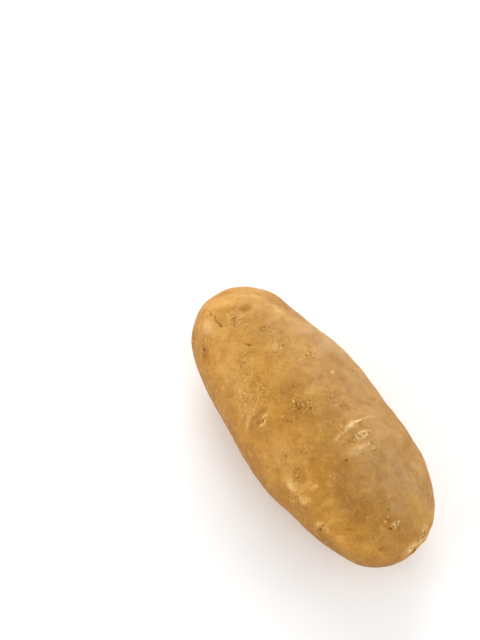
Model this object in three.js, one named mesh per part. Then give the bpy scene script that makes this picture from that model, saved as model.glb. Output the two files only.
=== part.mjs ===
// One long potato, grown as a single piece, lying on the flat spot of its underside.
// Millimetres, +Z up. The long axis is X: the stem end is at -X and the bud end at +X.
// The origin is at the middle of the footprint, on the surface that the potato rests on.
import * as THREE from 'three';
import { mergeVertices } from 'three/addons/utils/BufferGeometryUtils.js';

// Driving dimensions
const HALF_LENGTH = 70;
const HALF_WIDTH = 29.6;
const HALF_HEIGHT = 26;
const FOOT_CUT = 1; // how much of the underside the flat resting spot takes off

// Roundness of the outline: 2 is an ellipse, and more is blunter
const STEM_POWER = 2.2;
const BUD_POWER = 2.7;
const END_POWER = 2.2;
const SECTION_POWER = 2.12;

// Mesh: rows of quads along the body, and across each side of its section
const ROWS_ALONG = 46;
const ROWS_ACROSS = 14;

// Lumps and hollows of the tuber. along is the station in mm from the middle, and around is the angle in
// degrees from the top toward +Y. rise is the height in mm, with hollows below zero. reach and spread are the
// half-sizes in mm along and across the body.
const LUMPS = [
  // broad swellings of the two flanks, from the stem end to the bud end
  { along: -58, around: 100, rise: 1.3, reach: 13, spread: 24 },
  { along: -58, around: -100, rise: 1.5, reach: 13, spread: 24 },
  { along: -40, around: 100, rise: -1.5, reach: 18, spread: 24 },
  { along: -40, around: -100, rise: 0.8, reach: 18, spread: 24 },
  { along: -8, around: 95, rise: 1.0, reach: 14, spread: 22 },
  { along: 8, around: -100, rise: 2.3, reach: 16, spread: 24 },
  { along: 36, around: 100, rise: 1.2, reach: 18, spread: 26 },
  { along: 38, around: -100, rise: 0.7, reach: 18, spread: 26 },
  { along: 60, around: 100, rise: 1.0, reach: 12, spread: 24 },
  { along: 62, around: -100, rise: 1.7, reach: 12, spread: 24 },
  // shallow flats and swellings of the back and of the underside
  { along: 47, around: -26, rise: -0.9, reach: 11, spread: 9 },
  { along: -14, around: -30, rise: 0.7, reach: 14, spread: 14 },
  { along: 2, around: 20, rise: 0.5, reach: 12, spread: 12 },
  { along: -42, around: 170, rise: -1.2, reach: 18, spread: 18 },
  { along: 46, around: 165, rise: -1.0, reach: 16, spread: 16 },
  // eyes: a hollow, and for the two large ones the brow beside it
  { along: 25.5, around: 11, rise: -1.4, reach: 3.6, spread: 5.5 },
  { along: 19.5, around: 15, rise: 0.6, reach: 2.6, spread: 8 },
  { along: -4.5, around: -46, rise: -1.1, reach: 3.4, spread: 5 },
  { along: -8.5, around: -50, rise: 0.5, reach: 2.6, spread: 7 },
  { along: 44, around: -72, rise: -0.9, reach: 3.4, spread: 4.4 },
  { along: 61, around: -12, rise: -0.8, reach: 3.2, spread: 4.4 },
  { along: -52, around: -28, rise: -1.0, reach: 4.4, spread: 3.4 },
  { along: -35.5, around: 3, rise: -0.8, reach: 3.6, spread: 4.4 },
  { along: -12, around: 112, rise: -1.0, reach: 3.4, spread: 5 },
  { along: 34, around: 124, rise: -1.0, reach: 3.4, spread: 5 },
  { along: -34, around: -128, rise: -0.9, reach: 3.4, spread: 5 },
  { along: 14, around: -142, rise: -1.0, reach: 3.4, spread: 5 },
  // the scar where the stem was, and the crowded eyes of the bud end
  { along: -70, around: 0, rise: -1.2, reach: 6, spread: 6 },
  { along: 70, around: 0, rise: -0.8, reach: 7, spread: 7 },
];

// Radius of the body at a station from -1 at the stem end to 1 at the bud end, as a share of the widest.
function radiusAt(station) {
  const power = station < 0 ? STEM_POWER : BUD_POWER;
  return Math.max(0, 1 - Math.abs(station) ** power) ** (1 / END_POWER);
}

// The smooth body before its lumps, centred on the long axis.
function smoothBody(station, angle) {
  const side = Math.sin(angle);
  const top = Math.cos(angle);
  const squareness = (Math.abs(side) ** SECTION_POWER + Math.abs(top) ** SECTION_POWER) ** (-1 / SECTION_POWER);
  const radius = radiusAt(station) * squareness;
  return new THREE.Vector3(station * HALF_LENGTH, radius * side * HALF_WIDTH, radius * top * HALF_HEIGHT);
}

// Outward direction at a point of the smooth body.
function outwardAt(point) {
  return new THREE.Vector3(point.x / HALF_LENGTH ** 2, point.y / HALF_WIDTH ** 2, point.z / HALF_HEIGHT ** 2)
    .normalize();
}

// Adds to each lump its centre on the smooth body, and its directions out of, along and across the body.
function placeLump(lump) {
  const centre = smoothBody(lump.along / HALF_LENGTH, THREE.MathUtils.degToRad(lump.around));
  const out = outwardAt(centre);
  const across = new THREE.Vector3(0, Math.cos(THREE.MathUtils.degToRad(lump.around)),
    -Math.sin(THREE.MathUtils.degToRad(lump.around)));
  across.addScaledVector(out, -across.dot(out)).normalize();
  return { ...lump, centre, across, lengthwise: new THREE.Vector3().crossVectors(across, out) };
}

const placedLumps = LUMPS.map(placeLump);

// Height of all the lumps together at a point of the smooth body.
function lumpHeight(point) {
  const offset = new THREE.Vector3();
  let height = 0;
  for (const lump of placedLumps) {
    offset.subVectors(point, lump.centre);
    const lengthwise = offset.dot(lump.lengthwise);
    const crosswise = offset.lengthSq() - lengthwise ** 2;
    height += lump.rise * Math.exp(-((lengthwise / lump.reach) ** 2) - crosswise / lump.spread ** 2);
  }
  return height;
}

// Stations at even distances over the skin, so that the mesh is as fine at the ends as in the middle.
function evenStations(steps) {
  const stations = [-1];
  const distances = [0];
  for (let step = 1; step <= steps; step += 1) {
    const station = -Math.cos((Math.PI * step) / steps);
    const run = (station - stations[step - 1]) * HALF_LENGTH;
    const climb = (radiusAt(station) - radiusAt(stations[step - 1])) * HALF_WIDTH;
    stations.push(station);
    distances.push(distances[step - 1] + Math.hypot(run, climb));
  }
  return { stations, distances };
}

const meridian = evenStations(720);

// Station at a share of the way over the skin from the stem end, 0, to the bud end, 1.
function stationAt(share) {
  const { stations, distances } = meridian;
  const wanted = Math.min(1, share) * distances.at(-1);
  const next = Math.max(1, distances.findIndex((distance) => distance >= wanted));
  const part = (wanted - distances[next - 1]) / (distances[next] - distances[next - 1]);
  return stations[next - 1] + part * (stations[next] - stations[next - 1]);
}

// A box of square cells is wrapped onto the body: its long sides become the flanks, and its two square ends
// close over the ends of the body.
function potatoGeometry() {
  const cell = 2 / ROWS_ACROSS;
  const halfBox = (ROWS_ALONG * cell) / 2;
  const box = new THREE.BoxGeometry(2 * halfBox, 2, 2, ROWS_ALONG, ROWS_ACROSS, ROWS_ACROSS);
  box.deleteAttribute('normal');
  box.deleteAttribute('uv');
  const geometry = mergeVertices(box);
  const position = geometry.attributes.position;
  const corner = new THREE.Vector3();
  for (let index = 0; index < position.count; index += 1) {
    corner.fromBufferAttribute(position, index);
    const ring = Math.max(Math.abs(corner.y), Math.abs(corner.z));
    const fromMiddle = (Math.abs(corner.x) + 1 - ring) / (halfBox + 1);
    const station = stationAt((1 + Math.sign(corner.x) * fromMiddle) / 2);
    const point = smoothBody(station, boxAngle(corner.y, corner.z));
    point.addScaledVector(outwardAt(point), lumpHeight(point));
    position.setXYZ(index, point.x, point.y, Math.max(0, point.z + HALF_HEIGHT - FOOT_CUT));
  }
  geometry.computeVertexNormals();
  return geometry;
}

// Angle from the top toward +Y, even along each side of the square section of the box.
function boxAngle(y, z) {
  const quarter = Math.PI / 4;
  if (y === 0 && z === 0) return 0;
  if (Math.abs(y) <= Math.abs(z)) return z > 0 ? (quarter * y) / z : Math.PI + (quarter * y) / z;
  return y > 0 ? 2 * quarter - (quarter * z) / y : -2 * quarter - (quarter * z) / y;
}

const skin = new THREE.MeshStandardMaterial({ color: 0xc89a58, roughness: 0.6, metalness: 0 });

const potato = new THREE.Mesh(potatoGeometry(), skin);
potato.name = 'potato';

const part = new THREE.Group();
part.name = 'potato_part';
part.add(potato);

export default part;
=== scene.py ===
"""One long potato lying on a white studio floor.

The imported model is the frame. The skin mesh here follows the same formula as the frame's solid, at a much
finer step, with its eyes, brows, scars and dents modelled, and its colours mixed in a procedural material.
Shape values are in millimetres and degrees, and the Blender objects in metres.
"""

import math

import bmesh
import bpy
import numpy as np
from mathutils import Matrix, Vector, noise


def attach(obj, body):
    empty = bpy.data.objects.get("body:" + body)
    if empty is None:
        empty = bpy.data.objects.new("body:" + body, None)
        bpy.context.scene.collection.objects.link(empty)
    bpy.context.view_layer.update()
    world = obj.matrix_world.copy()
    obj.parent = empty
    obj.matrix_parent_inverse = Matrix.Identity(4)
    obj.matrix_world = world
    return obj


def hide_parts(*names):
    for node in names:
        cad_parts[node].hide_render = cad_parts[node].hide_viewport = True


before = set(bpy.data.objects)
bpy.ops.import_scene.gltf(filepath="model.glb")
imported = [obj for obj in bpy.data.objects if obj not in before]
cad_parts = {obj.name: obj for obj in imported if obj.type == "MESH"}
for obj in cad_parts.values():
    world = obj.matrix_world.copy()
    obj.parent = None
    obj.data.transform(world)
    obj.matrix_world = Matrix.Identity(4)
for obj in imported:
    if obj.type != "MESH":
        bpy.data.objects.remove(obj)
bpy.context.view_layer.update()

MM = 0.001

# ----------------------------------------------------------------------------------------------------
# Driving dimensions of the tuber, as in the frame's solid
# ----------------------------------------------------------------------------------------------------
HALF_LENGTH = 70.0
HALF_WIDTH = 29.6
HALF_HEIGHT = 26.0
FOOT_CUT = 1.0
STEM_POWER = 2.2
BUD_POWER = 2.7
END_POWER = 2.2
SECTION_POWER = 2.12

# Lumps and hollows: (along mm, around degrees from the top toward +Y, rise, reach, spread)
LUMPS = [
    # flanks, from the stem end to the bud end
    (-58, 100, 1.3, 13, 24),
    (-58, -100, 1.5, 13, 24),
    (-40, 100, -1.5, 18, 24),
    (-40, -100, 0.8, 18, 24),
    (-8, 95, 1.0, 14, 22),
    (8, -100, 2.3, 16, 24),
    (36, 100, 1.2, 18, 26),
    (38, -100, 0.7, 18, 26),
    (60, 100, 1.0, 12, 24),
    (62, -100, 1.7, 12, 24),
    # back and underside
    (47, -26, -0.9, 11, 9),
    (-14, -30, 0.7, 14, 14),
    (2, 20, 0.5, 12, 12),
    (-42, 170, -1.2, 18, 18),
    (46, 165, -1.0, 16, 16),
    # scars of the two ends
    (-70, 0, -1.2, 6, 6),
    (70, 0, -0.8, 7, 7),
    (69.6, -155, 0.8, 5, 6),
    # gentle unevenness of the skin between the eyes
    (24, -47, -0.6, 3.0, 3.4),
    (32, -62, 0.7, 3.6, 3.4),
    (15, -49, 0.4, 3.0, 2.6),
    (24, -59, 0.5, 2.8, 2.4),
    (-49, 2, -0.7, 3.6, 3.4),
    (-55, -40, 0.5, 4.5, 4.0),
    (38, 30, 0.4, 9, 8),
    (-22, 12, -0.4, 7, 6),
    (-28, -40, 0.5, 8, 6),
    (4, -62, -0.5, 7, 6),
    (52, 20, 0.4, 7, 7),
    (-55, 30, 0.4, 8, 7),
    (-6, -20, -0.4, 6, 5),
    (10, -30, 0.4, 7, 6),
    (47, -52, 0.5, 7, 5),
    (-12, 42, 0.5, 8, 5),
    (-2, 50, -0.5, 6, 4),
    (43, 78, 0.8, 9, 9),
    (-52, 64, 0.6, 6, 8),
]

# Small noise of the skin: (rise mm, size mm)
UNEVENNESS = [(0.40, 15), (0.22, 6), (0.07, 2.6)]

# Mesh: rows of quads along the body and across each side of its section
ROWS_ACROSS = 60
ROWS_ALONG = 196

# Places along the body where the distance over its skin is added up, to space the rows evenly
SKIN_STATIONS = 721

# Passes that split the cells round the marks: (reach past the mark in mm, widest mark split in mm)
REFINING = [(1.2, 0.9), (0.5, 0.6)]

# ----------------------------------------------------------------------------------------------------
# Marks of the skin: (style, half-width mm, points of its middle line as (along, around))
# ----------------------------------------------------------------------------------------------------
# How each style changes the skin at its middle: (rise mm, dark, pale, brown)
STYLES = {
    "hollow": (-1.0, 0.0, 0.0, 0.0),
    "dent": (-0.6, 0.0, 0.0, 0.35),
    "brown_dent": (-0.7, 0.0, 0.0, 0.8),
    "brow": (0.55, 0.0, 0.8, 0.0),
    "ridge": (0.45, 0.0, 0.25, 0.0),
    "lip": (0.5, 0.0, 0.4, 0.0),
    "crease": (-0.45, 0.2, 0.0, 0.8),
    "fold": (-0.35, 0.0, 0.0, 0.45),
    # a brown tint with almost no depth: painted shade under brows, round eye hollows and beside dents and
    # folds, and brown areas of skin elsewhere
    "shade": (-0.05, 0.0, 0.0, 0.25),
    "cork": (0.15, 0.0, 0.9, 0.0),
    # the next style is the cream of the main brow, with a painted highlight along it
    "cream_brow_and_highlight": (0.15, 0.0, 1.5, 0.0),
    "bud": (0.35, 0.0, 0.9, 0.0),
    "pit": (-0.35, 1.0, 0.0, 0.5),
    "fleck": (-0.08, 0.4, 0.0, 0.8),
    "speck": (0.0, 0.15, 0.0, 0.6),
    "stain": (0.0, 0.0, 0.0, 0.6),
    "pale_patch": (0.08, 0.0, 0.4, 0.0),
}

# Main eye on the back: a hollow under two brows, its bud a cream oval, and a pale lip below. Painted shade
# lies under the upper brow, round the bud and below the lip.
MAIN_EYE = [
    ("hollow", 3.2, [(25.6, 3), (25.6, 12)]),
    ("brow", 1.05, [(20.6, 3), (20.2, 8), (20.0, 13), (20.1, 16)]),
    ("cream_brow_and_highlight", 0.75, [(20.5, 6), (20.1, 10), (20.0, 13)]),
    ("cream_brow_and_highlight", 0.5, [(19.8, 12.5), (20.0, 16), (20.1, 20)]),
    ("cream_brow_and_highlight", 0.4, [(20.9, 3.5)]),
    ("cream_brow_and_highlight", 0.35, [(21.0, 10.5)]),
    ("ridge", 0.6, [(20.1, 15), (20.6, 25), (21.5, 34)]),
    ("shade", 1.3, [(22.4, 14), (23.0, 22)]),
    ("ridge", 0.8, [(22.6, -10), (21.5, -4), (21.4, 2)]),
    ("pale_patch", 0.9, [(22.4, -9), (21.5, -3)]),
    ("shade", 0.8, [(24.0, 5), (23.3, 12), (23.7, 19), (25.4, 23), (27.6, 19), (28.2, 12), (27.9, 5)]),
    ("bud", 1.4, [(25.7, 7), (25.7, 11), (25.6, 15.5)]),
    ("cork", 0.45, [(26.0, 4.5), (24.6, 8), (24.4, 13), (25.0, 17.5),
                    (26.4, 17), (27.1, 13), (27.0, 8)]),
    ("pit", 0.36, [(25.1, 10)]),
    ("pit", 0.42, [(25.9, 11)]),
    ("pit", 0.36, [(25.7, 14)]),
    ("fleck", 0.36, [(26.5, 10)]),
    ("fleck", 0.32, [(24.9, 12.6)]),
    ("fleck", 0.34, [(25.8, 17)]),
    ("fleck", 0.36, [(25.6, 19), (26.6, 18.8)]),
    ("cork", 0.35, [(25.8, 21)]),
    ("fleck", 0.3, [(24.7, 6.5)]),
    ("pit", 0.28, [(26.7, 3)]),
    ("cork", 0.35, [(27.0, 1.5)]),
    ("cork", 0.4, [(18.5, 3)]),
    ("speck", 0.35, [(16.4, 3)]),
    ("lip", 1.5, [(28.4, -3), (29.6, 3), (30.3, 8), (30.4, 14)]),
    ("lip", 1.0, [(29.0, -7), (30.8, -2), (31.8, 4)]),
    ("cork", 0.9, [(29.8, 3), (30.3, 7)]),
    ("cork", 0.6, [(30.5, 12), (30.2, 14)]),
    ("fleck", 0.3, [(31.1, 13)]),
    ("speck", 0.3, [(30.2, 16)]),
    ("fleck", 0.28, [(33.3, 12)]),
    ("cork", 0.35, [(32.9, 14.5)]),
    ("shade", 2.6, [(31.6, -13), (34.6, -7)]),
    ("pit", 0.5, [(30.6, -10), (31.6, -10)]),
    ("stain", 1.1, [(30.8, -11), (31.6, -15)]),
]

# Second eye, on the flank: a slit between pale rims, under a brown fold beside a ridge
FLANK_EYE = [
    ("hollow", 2.4, [(-4.2, -49), (-3.8, -42)]),
    ("lip", 0.9, [(-3.4, -48), (-2.5, -45), (-3.0, -42)]),
    ("cork", 0.45, [(-3.5, -48.5), (-2.6, -48), (-2.4, -46)]),
    ("cork", 0.4, [(-2.6, -44), (-3.2, -41)]),
    ("crease", 0.42, [(-3.8, -42), (-3.5, -45), (-3.2, -47)]),
    ("fleck", 0.36, [(-3.5, -43.5), (-3.3, -46)]),
    ("brow", 0.42, [(-4.3, -44), (-4.3, -40), (-3.7, -36)]),
    ("brown_dent", 1.5, [(-7.0, -45), (-6.8, -40), (-5.9, -35)]),
    ("fold", 1.0, [(-7.1, -52), (-6.6, -47), (-5.6, -42)]),
    ("ridge", 1.3, [(-5.9, -64), (-7.6, -56), (-9.2, -49)]),
    ("pale_patch", 0.8, [(-6.2, -62), (-8.2, -53)]),
    ("fold", 0.9, [(-3.8, -62), (-5.2, -56), (-6.6, -51)]),
    ("fleck", 0.45, [(1.7, -30)]),
    ("stain", 0.9, [(1.7, -30), (5.0, -27)]),
    ("fleck", 0.4, [(5.0, -26)]),
]

# Third and fourth eyes, near the bud end
BUD_SIDE_EYES = [
    ("hollow", 2.0, [(43.2, -73)]),
    ("cork", 0.45, [(41.6, -77), (41.4, -72), (42.3, -68)]),
    ("cork", 0.4, [(43.9, -75), (44.0, -70)]),
    ("pit", 0.55, [(43.1, -78)]),
    ("crease", 0.42, [(43.2, -74), (43.4, -70), (43.6, -67)]),
    ("pit", 0.36, [(43.3, -72), (43.5, -69)]),
    ("hollow", 2.0, [(61.2, -10)]),
    ("bud", 1.0, [(60.9, -15), (61.0, -9), (60.9, -2)]),
    ("cork", 0.55, [(61.9, -13), (61.5, -7)]),
    ("pit", 0.55, [(61.3, -16)]),
    ("pit", 0.4, [(61.2, -12)]),
    ("pit", 0.46, [(60.9, -6)]),
    ("fleck", 0.34, [(61.6, -9)]),
    ("cork", 0.3, [(60.6, -1)]),
    ("shade", 2.4, [(61.3, 4), (63.6, 4)]),
    ("cork", 0.42, [(58.2, -16)]),
    ("cork", 0.35, [(57.5, -11)]),
    ("fleck", 0.3, [(58.1, -13)]),
    ("shade", 1.2, [(58.4, -10)]),
]

# Crowded eyes of the bud end
BUD_END = [
    ("bud", 1.0, [(66.5, 39), (67.4, 45)]),
    ("bud", 1.6, [(67.8, 46), (68.4, 54)]),
    ("bud", 2.8, [(68.6, 52), (69.3, 74), (69.7, 110)]),
    ("bud", 2.5, [(69.4, 46), (69.8, 4), (69.9, -50)]),
    ("bud", 1.8, [(69.5, 140), (69.7, 175)]),
    ("pit", 1.1, [(67.7, 53), (68.8, 60)]),
    ("pit", 0.4, [(67.6, 48)]),
    ("fleck", 0.5, [(69.0, 36)]),
    ("pit", 0.9, [(69.2, 84), (69.5, 96)]),
    ("pit", 0.8, [(69.6, 72)]),
    ("pit", 0.8, [(69.8, 104)]),
    ("pit", 1.3, [(69.7, 106), (69.85, 135), (69.9, 170)]),
    ("pit", 0.7, [(69.8, 36)]),
    ("pit", 0.5, [(69.7, 4)]),
    ("fleck", 0.5, [(69.8, -30)]),
    ("crease", 0.45, [(69.2, 60), (69.7, 50), (69.9, 10)]),
    ("stain", 1.3, [(69.4, -60), (69.0, -80)]),
    ("fleck", 0.45, [(69.0, -96)]),
    ("fleck", 0.42, [(67.7, -91)]),
    ("hollow", 2.6, [(69.2, 100)]),
    ("crease", 0.5, [(68.9, 64), (69.3, 84)]),
    ("ridge", 0.8, [(67.0, 75), (67.6, 105), (67.2, 140)]),
    ("pale_patch", 1.2, [(66.4, 60), (66.0, 30)]),
]

# Creases, dents and an eye of the stem end
STEM_END = [
    ("shade", 1.7, [(-53.0, -25), (-50.1, -23), (-48.2, -21)]),
    ("crease", 0.45, [(-55.8, -26), (-54.2, -28), (-52.4, -29),
                      (-50.6, -27.5), (-48.6, -27.5), (-47.4, -22)]),
    ("crease", 0.62, [(-51.2, -28), (-49.8, -27), (-48.6, -27.5)]),
    ("fleck", 0.4, [(-48.7, -27.5)]),
    ("shade", 1.4, [(-47.0, -29), (-44.6, -27)]),
    ("pale_patch", 2.8, [(-55.5, -41), (-50.0, -41)]),
    ("pale_patch", 2.0, [(-52.0, -42)]),
    ("crease", 0.4, [(-48.6, -9), (-48.1, -14)]),
    ("crease", 0.3, [(-48.0, -14), (-46.6, -13)]),
    ("crease", 0.36, [(-46.4, -14), (-45.4, -17)]),
    ("crease", 0.3, [(-45.2, -17), (-44.0, -15)]),
    ("fold", 0.4, [(-43.6, -22), (-42.6, -22)]),
    ("shade", 0.9, [(-47.6, -12), (-44.4, -16)]),
    ("crease", 0.36, [(-58.6, -30), (-56.8, -31), (-55.4, -30)]),
    ("crease", 0.42, [(-61.0, -42), (-62.3, -35)]),
    ("fold", 0.5, [(-60.4, -45), (-61.0, -40)]),
    ("dent", 1.6, [(-51.4, -1), (-49.6, 5), (-47.8, 10)]),
    ("stain", 1.5, [(-51.0, 0), (-48.6, 8)]),
    ("speck", 0.4, [(-53.4, -12)]),
    ("speck", 0.35, [(-50.0, -12)]),
    ("crease", 0.42, [(-35.2, -18.5), (-33.8, -16.5), (-32.2, -13)]),
    ("crease", 0.75, [(-33.6, -16.6), (-33.0, -15.2)]),
    ("shade", 1.6, [(-34.0, -16), (-32.4, -12)]),
    ("dent", 2.2, [(-35.0, 0), (-37.0, 8)]),
    ("shade", 3.0, [(-39.5, 17), (-35.0, 12)]),
    ("fleck", 0.35, [(-36.6, 2)]),
    ("pit", 0.4, [(-35.4, 5)]),
    ("fleck", 0.35, [(-36.9, 6)]),
    ("fleck", 0.3, [(-34.2, 3)]),
    ("speck", 0.35, [(-35.2, 0)]),
    ("fleck", 0.35, [(-33.8, 7)]),
    ("cork", 0.26, [(-36.2, 4)]),
    ("cork", 0.26, [(-35.0, 8)]),
    ("cork", 0.24, [(-34.6, 4.5)]),
    ("cork", 0.24, [(-36.0, 7)]),
    ("cork", 0.4, [(-45.9, 31), (-45.0, 34), (-44.2, 33), (-44.6, 30.5)]),
    ("fleck", 0.35, [(-44.9, 32.2)]),
    ("shade", 2.2, [(-49.0, 34), (-46.0, 42)]),
    ("pale_patch", 1.6, [(-43.0, 28), (-39.0, 34)]),
    ("pit", 0.8, [(-47.4, -59), (-46.2, -57.5)]),
    ("crease", 0.5, [(-48.6, -57), (-47.4, -58)]),
    ("brown_dent", 2.7, [(-46.2, -61), (-42.6, -57)]),
    ("stain", 1.4, [(-42.0, -60), (-41.4, -56)]),
    ("crease", 0.4, [(-40.9, -58), (-40.0, -59)]),
    ("cork", 0.3, [(-43.4, -52)]),
    ("speck", 0.4, [(-50.4, -53)]),
    ("cork", 0.3, [(-49.2, -50)]),
    ("cork", 0.3, [(-48.0, -48)]),
    ("speck", 0.35, [(-48.6, -49)]),
    ("crease", 0.5, [(-25.7, 7), (-24.2, 8)]),
    ("shade", 1.4, [(-24.6, 10), (-24.0, 8)]),
    ("pale_patch", 1.1, [(-25.8, 0)]),
    ("cork", 0.35, [(-24.2, 4)]),
    ("speck", 0.35, [(-40.1, -30)]),
    ("speck", 0.35, [(-43.1, -75)]),
    ("speck", 0.4, [(-29.8, -30)]),
    ("speck", 0.35, [(-26.1, 1)]),
    ("speck", 0.35, [(-23.0, -58), (-21.6, -56)]),
]

# Clusters of specks on the back, and stains and single specks round them
BACK_SPECKS = [
    ("cork", 0.5, [(-1.3, -15)]),
    ("pit", 0.36, [(-0.1, -14)]),
    ("pit", 0.38, [(0.8, -15)]),
    ("fleck", 0.34, [(1.3, -16.5)]),
    ("fleck", 0.3, [(1.6, -12.5)]),
    ("pit", 0.34, [(2.6, -15)]),
    ("fleck", 0.34, [(4.1, -16)]),
    ("speck", 0.34, [(3.7, -13)]),
    ("cork", 0.38, [(2.1, -11)]),
    ("fleck", 0.3, [(2.5, -9)]),
    ("cork", 0.38, [(2.5, -7)]),
    ("fleck", 0.3, [(2.3, -5)]),
    ("fleck", 0.36, [(5.0, -8)]),
    ("cork", 0.32, [(4.4, -6)]),
    ("stain", 2.2, [(1.2, -16), (3.4, -14)]),
    ("stain", 1.2, [(4.6, -8), (5.4, -7)]),
    ("fleck", 0.3, [(-16.6, 17), (-15.2, 19)]),
    ("fleck", 0.3, [(-17.0, 22), (-15.6, 23)]),
    ("speck", 0.3, [(-14.4, 16)]),
    ("cork", 0.3, [(-16.0, 20)]),
    ("fleck", 0.45, [(-2.0, 49)]),
    ("stain", 0.9, [(-2.4, 47)]),
    ("speck", 0.35, [(-23.6, 18)]),
    ("speck", 0.4, [(-23.6, 7)]),
    ("speck", 0.35, [(-18.1, 4)]),
    ("speck", 0.35, [(-19.9, -7)]),
    ("fleck", 0.4, [(-6.8, -8)]),
    ("fleck", 0.4, [(-7.1, -18)]),
    ("pale_patch", 0.7, [(1.2, -31), (1.2, -28)]),
    ("speck", 0.4, [(-7.7, 11)]),
    ("fleck", 0.35, [(-3.9, 12)]),
    ("pale_patch", 0.5, [(15.1, -12)]),
    ("fold", 0.4, [(-23.4, -56), (-21.6, -55)]),
    ("speck", 0.4, [(-11.8, -34)]),
    ("speck", 0.35, [(-21.9, -56)]),
    ("stain", 0.8, [(1.1, 14)]),
    ("stain", 1.6, [(-5.0, 14), (-3.6, 17)]),
    ("stain", 2.6, [(9.8, 13), (13.6, 16)]),
    ("speck", 0.35, [(9.3, 12)]),
    ("cork", 0.6, [(-4.4, 24), (-3.4, 28)]),
    ("fleck", 0.4, [(17.2, -34)]),
    ("speck", 0.4, [(45.8, -2)]),
    ("speck", 0.35, [(52.9, 2)]),
    ("fleck", 0.35, [(55.3, -6)]),
    ("stain", 0.7, [(55.3, -6)]),
    ("fleck", 0.45, [(64.0, -50)]),
    ("stain", 1.5, [(63.8, -51), (65.0, -41)]),
    ("stain", 1.0, [(65.2, -13)]),
    ("speck", 0.5, [(59.7, -40)]),
    ("speck", 0.45, [(57.1, -48)]),
    ("speck", 0.4, [(51.2, -50)]),
    ("cork", 0.22, [(54.9, -46)]),
]

# Lower flank: pale bumps round a wrinkled dent, over a round lump
LOWER_FLANK = [
    ("pit", 0.38, [(14.2, -46)]),
    ("fleck", 0.3, [(10.8, -68), (11.4, -66)]),
    ("speck", 0.35, [(12.4, -64)]),
    ("lip", 1.6, [(22.2, -59), (24.6, -62)]),
    ("lip", 1.2, [(23.8, -58), (26.8, -60)]),
    ("cork", 0.4, [(23.3, -58)]),
    ("cork", 0.35, [(24.8, -57)]),
    ("cork", 0.35, [(22.6, -56.5)]),
    ("fleck", 0.32, [(21.8, -49)]),
    ("fleck", 0.34, [(22.1, -52), (22.4, -54)]),
    ("fleck", 0.32, [(23.6, -51)]),
    ("fleck", 0.3, [(26.8, -50)]),
    ("cork", 0.28, [(22.8, -50.5)]),
    ("fold", 0.35, [(22.8, -56), (23.7, -53), (24.6, -51)]),
    ("dent", 2.0, [(22.8, -44.5), (25.6, -47), (27.0, -50)]),
    ("ridge", 0.9, [(29.4, -64), (32.0, -63), (33.1, -57)]),
    ("cork", 0.3, [(31.2, -43)]),
    ("fleck", 0.42, [(28.6, -63)]),
    ("fleck", 0.38, [(30.8, -63)]),
    ("speck", 0.4, [(29.3, -66)]),
    ("fleck", 0.42, [(25.4, -73)]),
    ("speck", 0.35, [(31.8, -60)]),
    ("stain", 1.1, [(33.8, -68), (34.0, -63)]),
    ("cork", 0.35, [(32.8, -72)]),
    ("cork", 0.35, [(25.4, -64)]),
    ("shade", 0.9, [(59.7, -40), (58.8, -32), (58.0, -24)]),
    ("speck", 0.4, [(51.6, -58)]),
    ("stain", 2.0, [(20.9, -84)]),
]

# Plain eyes and folds of the sides turned away from the camera
HIDDEN_SIDES = [
    ("hollow", 3.0, [(-12.0, 112)]),
    ("brow", 0.7, [(-15.5, 104), (-16.2, 112), (-15.6, 121)]),
    ("crease", 0.45, [(-13.2, 108), (-13.0, 116)]),
    ("lip", 1.1, [(-8.8, 106), (-8.0, 113), (-8.6, 120)]),
    ("hollow", 3.0, [(34.0, 124)]),
    ("brow", 0.7, [(30.6, 115), (29.8, 124), (30.6, 133)]),
    ("crease", 0.45, [(33.0, 120), (33.0, 128)]),
    ("bud", 0.8, [(34.8, 122), (34.9, 127)]),
    ("pit", 0.3, [(34.8, 124.5)]),
    ("hollow", 2.8, [(-34.0, -128)]),
    ("brow", 0.7, [(-37.2, -120), (-38.0, -128), (-37.4, -137)]),
    ("crease", 0.45, [(-35.0, -124), (-34.8, -132)]),
    ("hollow", 3.0, [(14.0, -142)]),
    ("brow", 0.7, [(10.6, -133), (9.8, -142), (10.6, -151)]),
    ("crease", 0.45, [(13.0, -138), (13.0, -146)]),
    ("bud", 0.8, [(14.8, -140), (14.8, -145)]),
    ("hollow", 2.4, [(10.0, 84)]),
    ("brow", 0.6, [(7.2, 78), (6.6, 84), (7.2, 91)]),
    ("pit", 0.45, [(10.2, 84)]),
    ("hollow", 2.4, [(52.0, 98)]),
    ("brow", 0.6, [(49.0, 90), (48.4, 98), (49.0, 106)]),
    ("pit", 0.45, [(52.0, 98)]),
    ("hollow", 2.2, [(-44.0, 92)]),
    ("brow", 0.6, [(-46.6, 85), (-47.0, 92), (-46.6, 99)]),
    ("pit", 0.4, [(-44.2, 92)]),
    ("fold", 0.6, [(-28.0, 96), (-24.0, 102), (-22.0, 98)]),
    ("lip", 1.2, [(-52.0, 116), (-48.0, 122)]),
    ("fold", 0.5, [(42.0, 150), (46.0, 146), (50.0, 150)]),
    ("lip", 1.2, [(2.0, -112), (5.0, -118)]),
    ("stain", 2.4, [(-20.0, 140), (-14.0, 146)]),
    ("stain", 3.0, [(24.0, 170), (32.0, 176)]),
    ("stain", 2.4, [(-50.0, -110), (-46.0, -116)]),
]

MARKS = (
    MAIN_EYE + FLANK_EYE + BUD_SIDE_EYES + BUD_END
    + STEM_END + BACK_SPECKS + LOWER_FLANK + HIDDEN_SIDES
)

# Seed of the noise that shakes the edges of marks and patches, which would otherwise follow the clock
NOISE_SEED = 1

# The marks' edges are shaken by noise: (shake mm, size mm)
MARK_SHAKE = (0.28, 1.3)
MARK_FINE_SHAKE = (0.12, 0.5)

# Share of a mark's width and strength that is lost at the ends of its line
MARK_TAPER = 0.65

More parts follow.
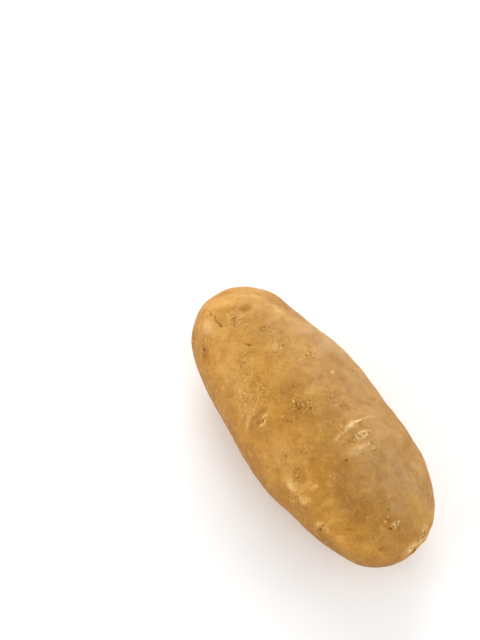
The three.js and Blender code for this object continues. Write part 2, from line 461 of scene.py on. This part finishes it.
# ----------------------------------------------------------------------------------------------------
# Colouring of the skin round its marks, by kind: (strength, half-width mm, points of its middle line)
# ----------------------------------------------------------------------------------------------------
PATCHES = {
    # greyish skin: a painted sheen of grazing reflection over the +Y half of the back, and dust
    "dust_and_painted_sheen": [
        (0.9, 15, [(-35, 47), (10, 36), (34, 30), (50, 32)]),
        (0.8, 10, [(28, 10), (43, 7)]),
        (1.0, 9, [(36, 19), (48, 25)]),
        (0.5, 8, [(40, -20), (46, -22)]),
        (0.6, 14, [(-30, 150), (30, 140)]),
    ],
    # warm yellow skin
    "gold": [
        (0.6, 8, [(-19, -29), (1, -32)]),
        (1.0, 8, [(10, -38), (22, -46), (36, -42), (48, -54), (60, -61)]),
        (0.5, 9, [(-60, -17), (-56, -45), (-30, -50), (0, -66)]),
        (0.7, 12, [(-20, -150), (30, -170)]),
    ],
    # darker brown skin, and painted shade: the lower flank darkened where it turns down toward the floor,
    # and the hollow of the back darkened
    "umber_and_painted_shade": [
        # painted shade along the lower flank
        (1.0, 10, [(-60, -88), (-40, -92), (0, -96), (50, -99)]),
        (0.8, 7, [(46, -98), (62, -106), (66, -120)]),
        (1.0, 7, [(-18, -94), (-6, -85)]),
        (0.6, 5.5, [(12, -80), (24, -84)]),
        (0.7, 6, [(-46, -85), (-38, -84)]),
        # painted shade in the hollow of the back
        (0.7, 6.5, [(40, -26), (47, -27), (50, -34)]),
        (0.45, 6, [(-5, -14), (6, -16)]),
        (0.35, 6, [(31, -32), (33, -15), (40, 2)]),
        (0.35, 5, [(8, 0), (15, 0)]),
        (0.3, 3.5, [(32, -49), (40, -50)]),
        (0.75, 6, [(-48, 54), (-40, 48)]),
        (0.3, 8, [(-8, 56), (10, 56), (28, 58), (36, 64), (52, 60)]),
        (0.5, 12, [(-10, 170), (50, 175)]),
    ],
    # lighter skin, and painted light that brightens the stem half
    "fair_and_painted_light": [
        (0.6, 6, [(-62, -20), (-52, -42)]),
        (0.9, 6, [(-47, -38), (-46, -34)]),
        (0.4, 6, [(-46, -24), (-46, -14)]),
        (0.5, 5, [(-38, 22), (-29, 20), (-21, 20)]),
        (0.7, 7, [(-54, 28), (-42, 30), (-37, 26)]),
        (0.6, 5, [(-38, -30), (-24, -46), (-10, -46)]),
        (0.8, 4.5, [(12, -47), (17, -45)]),
        (0.5, 3, [(16, -50), (23, -58), (31, -58)]),
        (0.35, 5, [(17, -30), (10, -28)]),
        (0.4, 4.5, [(24, 1), (21, 12)]),
        (0.4, 6, [(-10, -16), (-10, 2)]),
        (0.4, 4, [(61, -40), (64, -30)]),
        (0.3, 5, [(6, 17), (15, 18)]),
        (0.5, 6, [(-20, 118), (6, 112)]),
    ],
    # small cream-yellow streaks and bumps, partly painted highlights where the bumps of the lower flank
    # catch the light
    "cream_and_painted_highlight": [
        (0.85, 1.7, [(22.4, -59), (25.0, -62)]),
        (0.6, 1.4, [(24.0, -58), (26.8, -60)]),
        (0.55, 1.5, [(29.4, -63), (32.4, -61), (33.0, -57)]),
        (0.5, 0.9, [(30.6, -47), (31.3, -42)]),
        (0.45, 0.8, [(38.2, -49), (39.3, -40)]),
        (0.4, 0.7, [(44.6, -64), (45.0, -54), (48.5, -45)]),
        (0.35, 0.7, [(38.0, -58), (38.7, -51)]),
        (0.35, 0.7, [(44.2, -49), (45.5, -40)]),
        (0.5, 1.3, [(41.2, -75), (42.2, -67)]),
        (0.35, 1.0, [(50.4, -68), (52.6, -60)]),
        (0.3, 1.0, [(57.4, -62), (60.4, -54)]),
        (0.55, 1.8, [(13.6, -52), (16.8, -48)]),
        (0.4, 1.3, [(-1.4, -3), (-0.8, 2)]),
        (0.35, 0.9, [(0.2, 8)]),
        (0.3, 1.6, [(-11.0, -52), (-8.6, -44)]),
        (0.3, 2.2, [(-58.0, -8), (-60.0, 14)]),
    ],
    # stippled netting
    "net": [
        (1.0, 3.6, [(-22.4, -32), (-17.5, -27)]),
        (0.9, 2.8, [(-15.0, -29), (-11.4, -34)]),
        (1.0, 3.6, [(-18.6, -45), (-13.9, -40)]),
        (0.8, 3.2, [(-12.4, -51), (-10.0, -44)]),
        (0.8, 3.0, [(-29, -30), (-24, -34)]),
        (0.9, 2.6, [(-37, 4), (-35, 7)]),
        (0.9, 2.8, [(0.4, -15), (2.1, -10), (4.6, -8)]),
        (0.9, 3.0, [(-17, 18), (-14.8, 21)]),
        (0.6, 4.5, [(4, 12), (12, 15)]),
        (0.7, 3.5, [(-52, -6), (-47, -12)]),
        (0.7, 2.4, [(30.5, 14), (33, 15)]),
        (0.8, 3.0, [(30, -63), (27, -70)]),
        (0.7, 3.0, [(22, -51), (23, -54)]),
        (0.7, 4.0, [(-10, 96), (-4, 100)]),
        (0.8, 5.0, [(20, 120), (26, 132)]),
        (0.8, 5.0, [(-40, 140), (-34, 150)]),
        (0.8, 5.0, [(-8, -128), (0, -136)]),
        (0.7, 5.0, [(38, -120), (46, -126)]),
        (0.8, 6.0, [(6, 170), (14, 178)]),
    ],
}

# The patches' edges are shaken by noise: share of the half-width, size mm
PATCH_SHAKE = 0.45
PATCH_SHAKE_SIZE = 9

# ----------------------------------------------------------------------------------------------------
# Colours, as linear red, green and blue, and scales of the procedural patterns, in cells per metre
# ----------------------------------------------------------------------------------------------------
GROUND_COLOUR = (0.42, 0.195, 0.030)
LIGHT_GROUND_COLOUR = (0.49, 0.240, 0.040)

# In the order that they are laid over each other
PATCH_COLOURS = {
    "gold": (0.50, 0.222, 0.024),
    "dust_and_painted_sheen": (0.475, 0.284, 0.122),
    "fair_and_painted_light": (0.60, 0.325, 0.085),
    "umber_and_painted_shade": (0.28, 0.115, 0.010),
    "cream_and_painted_highlight": (0.78, 0.450, 0.110),
}
MARK_COLOURS = {
    "brown": (0.29, 0.108, 0.008),
    "pale": (0.79, 0.520, 0.215),
    "dark": (0.13, 0.042, 0.003),
}
LINE_COLOUR = (0.22, 0.085, 0.010)
PALE_LINE_COLOUR = (0.68, 0.400, 0.110)
NET_DARK_COLOUR = (0.17, 0.070, 0.012)
NET_PALE_COLOUR = (0.68, 0.430, 0.140)
PALE_DOT_COLOUR = (0.70, 0.450, 0.160)
DARK_DOT_COLOUR = (0.17, 0.070, 0.015)

# Mottling: (pattern, value where it starts, value where it is full, strength, colour)
MOTTLING = [
    ("cloud", 0.44, 0.66, 0.45, (0.34, 0.145, 0.022)),
    ("cloud", 0.48, 0.30, 0.35, (0.58, 0.310, 0.075)),
    ("blotch", 0.50, 0.66, 0.40, (0.32, 0.140, 0.022)),
    ("blotch", 0.46, 0.32, 0.40, (0.60, 0.330, 0.085)),
    ("fine", 0.50, 0.72, 0.40, (0.58, 0.330, 0.085)),
    ("grain", 0.54, 0.70, 0.40, (0.28, 0.130, 0.030)),
]

BROAD_SCALE = 34
CLOUD_SCALE = 95
BLOTCH_SCALE = 230
FINE_SCALE = 620
GRAIN_SCALE = 1700
STIPPLE_SCALE = 1050
WIDE_LINE_SCALE = 210
THIN_LINE_SCALE = 420
PALE_LINE_SCALE = 240
DOT_SCALE = 330

BUMP_DEPTH = 0.3 * MM
SKIN_IOR = 1.33
WARM_SHEEN = (1.0, 0.86, 0.66)

# ----------------------------------------------------------------------------------------------------
# Camera and lights
# ----------------------------------------------------------------------------------------------------
# The camera turns 34 degrees past the potato's side toward its bud end, and looks steeply down on it.
# Its aim is left of and above the middle of the potato.
CAMERA_AZIMUTH = 55.7
CAMERA_ELEVATION = 62.0
CAMERA_DISTANCE = 735.0
CAMERA_LENS = 100.0
CAMERA_SENSOR = 36.0
CAMERA_MIDDLE = (3.86, -0.77, 26.0)
CAMERA_AIM_LEFT = 30.3
CAMERA_AIM_ABOVE = 44.5

# A white tent of light with round softboxes, in metres and watts:
# (name, degrees from the right of the view toward its back, elevation, power)
WORLD_STRENGTH = 0.67
SOFTBOX_SIZE = 0.7
SOFTBOX_DISTANCE = 1.0
SOFTBOXES = [
    ("left_low", 180, 17, 5.6),
    ("back_low", 90, 17, 4.8),
    ("back_high", 95, 37, 2.9),
    ("right_low", 0, 17, 2.0),
    ("front_right", -60, 36, 2.2),
]
FLOOR_HALF = 3.0
FLOOR_WHITE = (0.95, 0.95, 0.95)
FLOOR_ROUGHNESS = 0.9


# ----------------------------------------------------------------------------------------------------
# Shape
# ----------------------------------------------------------------------------------------------------
def radius_at(station):
    """Radius at a station from -1 at the stem end to 1 at the bud end, as a share of the widest."""
    power = np.where(station < 0, STEM_POWER, BUD_POWER)
    return np.maximum(0, 1 - np.abs(station) ** power) ** (1 / END_POWER)


def smooth_body(station, angle):
    """Points of the body before its lumps, centred on the long axis."""
    side, top = np.sin(angle), np.cos(angle)
    squareness = (np.abs(side) ** SECTION_POWER + np.abs(top) ** SECTION_POWER) ** (-1 / SECTION_POWER)
    radius = radius_at(station) * squareness
    sideways = radius * side * HALF_WIDTH
    upward = radius * top * HALF_HEIGHT
    return np.stack([station * HALF_LENGTH, sideways, upward], axis=-1)


def on_body(along, around):
    """The point of the smooth body at a distance along it and an angle around it."""
    return smooth_body(np.asarray(along / HALF_LENGTH), math.radians(around))


def line_on_body(line):
    """A line's points placed on the smooth body."""
    return np.array([on_body(*point) for point in line])


def outward_at(points):
    """Outward directions at points of the smooth body."""
    slopes = points / np.array([HALF_LENGTH, HALF_WIDTH, HALF_HEIGHT]) ** 2
    return slopes / np.linalg.norm(slopes, axis=-1, keepdims=True)


def lump_height(points):
    """Height of all the lumps together at points of the smooth body."""
    height = np.zeros(len(points))
    for along, around, rise, reach, spread in LUMPS:
        centre = on_body(along, around)
        out = outward_at(centre)
        across = np.array([0, math.cos(math.radians(around)), -math.sin(math.radians(around))])
        across = across - out * (across @ out)
        lengthwise = np.cross(across / np.linalg.norm(across), out)
        offset = points - centre
        along_it = offset @ lengthwise
        crosswise = (offset ** 2).sum(axis=1) - along_it ** 2
        height += rise * np.exp(-(along_it / reach) ** 2 - crosswise / spread ** 2)
    return height


def even_stations(shares):
    """Stations at shares of the way over the skin, from the stem end, 0, to the bud end, 1."""
    stations = -np.cos(np.linspace(0, math.pi, SKIN_STATIONS))
    run = np.diff(stations) * HALF_LENGTH
    climb = np.diff(radius_at(stations)) * HALF_WIDTH
    distance = np.concatenate([[0], np.cumsum(np.hypot(run, climb))])
    return np.interp(shares * distance[-1], distance, stations)


# ----------------------------------------------------------------------------------------------------
# Mesh: a box of square cells, finer at the marks, wrapped onto the body
# ----------------------------------------------------------------------------------------------------
HALF_BOX = ROWS_ALONG / ROWS_ACROSS


def box_grid():
    """Corners and square faces of the cells of a box 2 wide, 2 high and 2 * HALF_BOX long."""
    a, c = ROWS_ALONG, ROWS_ACROSS
    quads = []

    def side_of_box(rows, columns, place):
        i, j = (grid.ravel() for grid in np.meshgrid(np.arange(rows), np.arange(columns), indexing="ij"))
        ring = [place(i, j), place(i + 1, j), place(i + 1, j + 1), place(i, j + 1)]
        corners = [np.stack(np.broadcast_arrays(*corner), axis=1) for corner in ring]
        quads.append(np.stack(corners, axis=1))

    side_of_box(a, c, lambda i, j: (i, j, 0))
    side_of_box(a, c, lambda i, j: (i, c - j, c))
    side_of_box(a, c, lambda i, j: (i, 0, c - j))
    side_of_box(a, c, lambda i, j: (i, c, j))
    side_of_box(c, c, lambda i, j: (0, i, j))
    side_of_box(c, c, lambda i, j: (a, c - i, j))
    corners, index = np.unique(np.concatenate(quads).reshape(-1, 3), axis=0, return_inverse=True)
    half = np.array([a, c, c]) / 2
    return (corners - half) / (c / 2), index.reshape(-1, 4)


def wrap(box_points):
    """Points of the smooth body for points of the box."""
    x, y, z = box_points.T
    ring = np.maximum(np.abs(y), np.abs(z))
    from_middle = (np.abs(x) + 1 - ring) / (HALF_BOX + 1)
    station = even_stations((1 + np.sign(x) * from_middle) / 2)
    above_or_below = np.abs(y) <= np.abs(z)
    level = np.where(above_or_below & (z != 0), z, 1)
    upright = np.where(above_or_below, 1, y)
    angle_there = math.pi / 4 * y / level + np.where(z > 0, 0, math.pi)
    angle_beside = np.sign(y) * math.pi / 2 - math.pi / 4 * z / upright
    return smooth_body(station, np.where(above_or_below, angle_there, angle_beside))


def distance_to_line(points, line):
    """Distance from each point to a line, and how far along it the nearest place is, from 0 to 1."""
    if len(line) == 1:
        return np.linalg.norm(points - line[0], axis=1), np.full(len(points), 0.5)
    nearest = np.full(len(points), np.inf)
    place = np.zeros(len(points))
    for step, (start, end) in enumerate(zip(line[:-1], line[1:])):
        run = end - start
        share = np.clip((points - start) @ run / (run @ run), 0, 1)
        distance = np.linalg.norm(points - start - share[:, None] * run, axis=1)
        closer = distance < nearest
        nearest[closer] = distance[closer]
        place[closer] = (step + share[closer]) / (len(line) - 1)
    return nearest, place


def refine(grid, reach, widest):
    """Splits the cells within reach of the marks that are no wider than widest."""
    faces = list(grid.faces)
    centres = wrap(np.array([face.calc_center_median() for face in faces]))
    near = np.zeros(len(faces), bool)
    for style, width, line in MARKS:
        if style != "hollow" and width <= widest:
            near |= distance_to_line(centres, line_on_body(line))[0] < reach + width
    edges = {edge for face, wanted in zip(faces, near) if wanted for edge in face.edges}
    bmesh.ops.subdivide_edges(grid, edges=list(edges), cuts=1, use_grid_fill=True)


def wobble(points, size, aside=(0, 0, 0)):
    """A noise vector at each point."""
    return np.array([noise.noise_vector(Vector(point) / size + Vector(aside)) for point in points])


def mark_values(points):
    """Rise, dark, pale and brown at each point, from all the marks."""
    values = np.zeros((len(points), 4))
    shake, size = MARK_SHAKE
    fine_shake, fine_size = MARK_FINE_SHAKE
    shaken = points + shake * wobble(points, size) + fine_shake * wobble(points, fine_size, (7, 3, 5))
    for style, width, places in MARKS:
        line = line_on_body(places)
        middle = line.mean(axis=0)
        radius = np.linalg.norm(line - middle, axis=1).max() + 3 * width
        close = np.flatnonzero(((shaken - middle) ** 2).sum(axis=1) < radius ** 2)
        distance, place = distance_to_line(shaken[close], line)
        taper = 1 - MARK_TAPER * np.abs(2 * place - 1) ** 3
        strength = np.exp(-(distance / (width * taper)) ** 2) * taper
        rise, *tints = STYLES[style]
        # thin marks are shallower
        values[close, 0] += rise * strength * min(1, 0.4 + width / 2)
        for channel, tint in enumerate(tints, start=1):
            values[close, channel] = np.maximum(values[close, channel], tint * strength)
    return values


def patch_values(points):
    """Strength of each kind of colouring at each point."""
    shake = wobble(points, PATCH_SHAKE_SIZE)
    values = {}
    for kind, patches in PATCHES.items():
        values[kind] = np.zeros(len(points))
        for strength, width, line in patches:
            shaken = points + PATCH_SHAKE * width * shake
            distance, _ = distance_to_line(shaken, line_on_body(line))
            values[kind] = np.maximum(values[kind], strength * np.exp(-(distance / width) ** 2))
    return values


def unevenness(points):
    """Small rises and dips of the skin, in mm."""
    return np.array([sum(rise * noise.noise(Vector(point) / size) for rise, size in UNEVENNESS)
                     for point in points])


def potato_mesh():
    """The skin, with the strengths of its marks and patches stored at its vertices."""
    corners, quads = box_grid()
    skin_mesh = bpy.data.meshes.new("potato_skin")
    skin_mesh.from_pydata(corners.tolist(), [], quads.tolist())
    grid = bmesh.new()
    grid.from_mesh(skin_mesh)
    bmesh.ops.recalc_face_normals(grid, faces=grid.faces)
    for reach, widest in REFINING:
        refine(grid, reach, widest)

    body = wrap(np.array([vertex.co for vertex in grid.verts]))
    rise, dark, pale, brown = mark_values(body).T
    height = lump_height(body) + rise + unevenness(body)
    skin = body + outward_at(body) * height[:, None]
    skin[:, 2] = np.maximum(0, skin[:, 2] + HALF_HEIGHT - FOOT_CUT)
    for vertex, place in zip(grid.verts, skin * MM):
        vertex.co = place
    grid.to_mesh(skin_mesh)
    grid.free()

    strengths = {"dark": dark, "pale": pale, "brown": brown, **patch_values(body)}
    for name, values in strengths.items():
        attribute = skin_mesh.attributes.new(name, "FLOAT", "POINT")
        attribute.data.foreach_set("value", values.astype(np.float32))
    skin_mesh.shade_smooth()
    return skin_mesh


# ----------------------------------------------------------------------------------------------------
# Material
# ----------------------------------------------------------------------------------------------------
def rgb(red, green, blue):
    return (red, green, blue, 1.0)


class Nodes:
    """Short calls for building a node tree whose patterns lie in the object's own space."""

    def __init__(self, tree):
        self.tree = tree
        self.place = self.add("ShaderNodeTexCoord").outputs["Object"]

    def add(self, kind, inputs=None, **settings):
        node = self.tree.nodes.new(kind)
        for name, value in settings.items():
            setattr(node, name, value)
        for name, value in (inputs or {}).items():
            socket = node.inputs[name]
            if isinstance(value, bpy.types.NodeSocket):
                self.tree.links.new(value, socket)
            else:
                socket.default_value = value
        return node

    def stored(self, name):
        """A strength stored on the mesh."""
        return self.add("ShaderNodeAttribute", attribute_name=name).outputs["Fac"]

    def noise(self, scale, detail, roughness=0.5, distortion=0.0, place=None):
        settings = {
            "Vector": place or self.place,
            "Scale": scale,
            "Detail": detail,
            "Roughness": roughness,
            "Distortion": distortion,
        }
        return self.add("ShaderNodeTexNoise", settings).outputs["Fac"]

    def remap(self, value, low, high, to_low=0.0, to_high=1.0):
        """The value eased from low..high to to_low..to_high."""
        ends = {"Value": value, "From Min": low, "From Max": high, "To Min": to_low, "To Max": to_high}
        return self.add("ShaderNodeMapRange", ends, interpolation_type="SMOOTHSTEP").outputs["Result"]

    def maths(self, operation, first, second):
        return self.add("ShaderNodeMath", {0: first, 1: second}, operation=operation).outputs[0]

    def times(self, first, second):
        return self.maths("MULTIPLY", first, second)

    def plus(self, first, second):
        return self.maths("ADD", first, second)

    def minus(self, first, second):
        return self.maths("SUBTRACT", first, second)

    def paint(self, colour, factor, tint):
        """The colour mixed toward a tint by a factor."""
        sockets = {0: factor, 6: colour, 7: rgb(*tint)}
        return self.add("ShaderNodeMix", sockets, data_type="RGBA").outputs[2]


def crinkles(nodes, scale, sparseness, place=None):
    """Thin broken curved lines, 1 on the lines. More sparseness leaves fewer of them."""
    curves = nodes.noise(scale, detail=2, roughness=0.55, distortion=1.2, place=place)
    # each line follows a contour of the noise at its middle value
    off_line = nodes.maths("ABSOLUTE", nodes.minus(curves, 0.5), 0)
    line = nodes.remap(off_line, 0.030, 0.004)
    where = nodes.noise(0.7 * scale, detail=2, distortion=0.5, place=place)
    return nodes.times(line, nodes.remap(where, sparseness, sparseness + 0.1))


def skin_patterns(nodes):
    """The noises that several parts of the skin's look share, by name."""
    return {
        "cloud": nodes.noise(CLOUD_SCALE, detail=4, roughness=0.6, distortion=0.6),
        "blotch": nodes.noise(BLOTCH_SCALE, detail=4, roughness=0.6, distortion=0.8),
        "fine": nodes.noise(FINE_SCALE, detail=6, roughness=0.7),
        "grain": nodes.noise(GRAIN_SCALE, detail=4, roughness=0.7),
    }


def ground_colour(nodes, patterns):
    """The skin's broad areas and patches, mottled from broad to fine."""
    broad = nodes.noise(BROAD_SCALE, detail=3, roughness=0.55)
    colour = nodes.paint(rgb(*GROUND_COLOUR), nodes.remap(broad, 0.36, 0.64), LIGHT_GROUND_COLOUR)
    for kind, tint in PATCH_COLOURS.items():
        colour = nodes.paint(colour, nodes.stored(kind), tint)
    for pattern, start, full, strength, tint in MOTTLING:
        colour = nodes.paint(colour, nodes.remap(patterns[pattern], start, full, 0, strength), tint)
    return colour


def dark_lines(nodes, clear_skin):
    """Strength of the skin's dark crinkled lines."""
    wide = nodes.times(crinkles(nodes, WIDE_LINE_SCALE, 0.46), 0.34)
    thin = nodes.times(crinkles(nodes, THIN_LINE_SCALE, 0.50), 0.18)
    return nodes.times(nodes.maths("MAXIMUM", wide, thin), clear_skin)


def pale_lines(nodes, clear_skin):
    """Strength of the pale crinkled lines, which take other courses than the dark ones."""
    aside = nodes.add("ShaderNodeVectorMath", {0: nodes.place, 1: (0.3, 0.7, 0.2)}, operation="ADD")
    lines = crinkles(nodes, PALE_LINE_SCALE, 0.46, place=aside.outputs[0])
    return nodes.times(nodes.times(lines, clear_skin), 0.18)


def netting(nodes):
    """Strengths of the dark and the pale stipple of netted skin."""
    stipple = nodes.noise(STIPPLE_SCALE, detail=2, roughness=0.6)
    net = nodes.stored("net")
    dark = nodes.times(net, nodes.remap(stipple, 0.54, 0.64))
    pale = nodes.times(net, nodes.remap(stipple, 0.45, 0.35))
    return dark, pale


def scattered_dots(nodes):
    """Strengths of the pale and the dark dots, each in a few cells of one pattern."""
    cells = nodes.add("ShaderNodeTexVoronoi", {"Vector": nodes.place, "Scale": DOT_SCALE})
    chosen = nodes.add("ShaderNodeSeparateColor", {"Color": cells.outputs["Color"]}).outputs
    dot = nodes.remap(cells.outputs["Distance"], 0.17, 0.07)
    pale = nodes.times(dot, nodes.remap(chosen[0], 0.92, 0.94))
    dark = nodes.times(dot, nodes.remap(chosen[1], 0.93, 0.95))
    return pale, dark


def skin_material():
    material = bpy.data.materials.new("potato_skin")
    material.use_nodes = True
    nodes = Nodes(material.node_tree)
    patterns = skin_patterns(nodes)
    fine, grain = patterns["fine"], patterns["grain"]
    marks = {name: nodes.stored(name) for name in MARK_COLOURS}

    # the greyish patches of dust and painted sheen show fewer lines
    clear_skin = nodes.remap(nodes.stored("dust_and_painted_sheen"), 0.0, 1.0, 1.0, 0.45)
    lines = dark_lines(nodes, clear_skin)
    net_dark, net_pale = netting(nodes)
    pale_dot, dark_dot = scattered_dots(nodes)

    colour = ground_colour(nodes, patterns)
    colour = nodes.paint(colour, lines, LINE_COLOUR)
    colour = nodes.paint(colour, pale_lines(nodes, clear_skin), PALE_LINE_COLOUR)
    colour = nodes.paint(colour, nodes.times(net_dark, 0.6), NET_DARK_COLOUR)
    colour = nodes.paint(colour, nodes.times(net_pale, 0.6), NET_PALE_COLOUR)
    colour = nodes.paint(colour, nodes.times(pale_dot, 0.5), PALE_DOT_COLOUR)
    colour = nodes.paint(colour, nodes.times(dark_dot, 0.5), DARK_DOT_COLOUR)
    uneven = nodes.remap(fine, 0.3, 0.7, 0.65, 1.15)
    colour = nodes.paint(colour, nodes.times(marks["brown"], uneven), MARK_COLOURS["brown"])
    colour = nodes.paint(colour, nodes.times(marks["pale"], uneven), MARK_COLOURS["pale"])
    colour = nodes.paint(colour, marks["dark"], MARK_COLOURS["dark"])

    roughness = nodes.remap(patterns["blotch"], 0.3, 0.7, 0.55, 0.67)
    roughness = nodes.plus(roughness, nodes.times(marks["dark"], 0.25))

    height = nodes.plus(nodes.times(fine, 0.7), nodes.times(grain, 0.35))
    height = nodes.minus(height, nodes.times(lines, 0.6))
    height = nodes.plus(height, nodes.times(nodes.minus(net_pale, net_dark), 0.3))
    height = nodes.plus(height, nodes.times(pale_dot, 0.25))
    bump = nodes.add("ShaderNodeBump", {"Strength": 0.7, "Distance": BUMP_DEPTH, "Height": height})

    shader = material.node_tree.nodes["Principled BSDF"]
    nodes.tree.links.new(colour, shader.inputs["Base Color"])
    nodes.tree.links.new(roughness, shader.inputs["Roughness"])
    nodes.tree.links.new(bump.outputs["Normal"], shader.inputs["Normal"])
    shader.inputs["IOR"].default_value = SKIN_IOR
    shader.inputs["Specular Tint"].default_value = rgb(*WARM_SHEEN)
    return material


def floor_material():
    material = bpy.data.materials.new("studio_white")
    material.use_nodes = True
    shader = material.node_tree.nodes["Principled BSDF"]
    shader.inputs["Base Color"].default_value = rgb(*FLOOR_WHITE)
    shader.inputs["Roughness"].default_value = FLOOR_ROUGHNESS
    return material


# ----------------------------------------------------------------------------------------------------
# Pieces and studio
# ----------------------------------------------------------------------------------------------------
def potato():
    mesh = potato_mesh()
    mesh.materials.append(skin_material())
    piece = bpy.data.objects.new("potato_skin", mesh)
    bpy.context.scene.collection.objects.link(piece)
    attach(piece, "root")
    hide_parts("potato")


def studio_floor():
    half = FLOOR_HALF
    corners = [(-half, -half, 0), (half, -half, 0), (half, half, 0), (-half, half, 0)]
    mesh = bpy.data.meshes.new("studio_floor")
    mesh.from_pydata(corners, [], [(0, 1, 2, 3)])
    mesh.materials.append(floor_material())
    floor = bpy.data.objects.new("studio_floor", mesh)
    bpy.context.scene.collection.objects.link(floor)


def softbox(name, bearing, elevation, power):
    """A round soft light aimed at the potato. bearing is in degrees from +X toward +Y."""
    turn, rise = math.radians(bearing), math.radians(elevation)
    away = Vector((math.cos(turn) * math.cos(rise), math.sin(turn) * math.cos(rise), math.sin(rise)))
    light = bpy.data.lights.new(name, "AREA")
    light.shape = "DISK"
    light.size = SOFTBOX_SIZE
    light.energy = power
    holder = bpy.data.objects.new(name, light)
    facing = away.to_track_quat("Z", "Y").to_matrix().to_4x4()
    holder.matrix_world = Matrix.Translation(away * SOFTBOX_DISTANCE) @ facing
    holder.visible_camera = False
    bpy.context.scene.collection.objects.link(holder)


def studio_light():
    world = bpy.data.worlds.new("studio_world")
    world.use_nodes = True
    background = world.node_tree.nodes["Background"]
    background.inputs["Color"].default_value = rgb(1, 1, 1)
    background.inputs["Strength"].default_value = WORLD_STRENGTH
    bpy.context.scene.world = world
    for name, turn, elevation, power in SOFTBOXES:
        softbox(name, CAMERA_AZIMUTH + turn, elevation, power)


def camera():
    azimuth, elevation = math.radians(CAMERA_AZIMUTH), math.radians(CAMERA_ELEVATION)
    level = math.cos(elevation)
    back = Vector((math.sin(azimuth) * level, -math.cos(azimuth) * level, math.sin(elevation)))
    right = Vector((math.cos(azimuth), math.sin(azimuth), 0))
    up = back.cross(right)
    aim = Vector(CAMERA_MIDDLE) - right * CAMERA_AIM_LEFT + up * CAMERA_AIM_ABOVE
    place = aim + back * CAMERA_DISTANCE
    data = bpy.data.cameras.new("camera")
    data.lens = CAMERA_LENS
    data.sensor_width = CAMERA_SENSOR
    data.clip_start, data.clip_end = 0.01, 20
    holder = bpy.data.objects.new("camera", data)
    turned = Matrix((right, up, back)).transposed().to_4x4()
    holder.matrix_world = Matrix.Translation(place * MM) @ turned
    bpy.context.scene.collection.objects.link(holder)
    bpy.context.scene.camera = holder


bpy.context.scene.view_settings.view_transform = "Standard"
noise.seed_set(NOISE_SEED)
potato()
studio_floor()
studio_light()
camera()
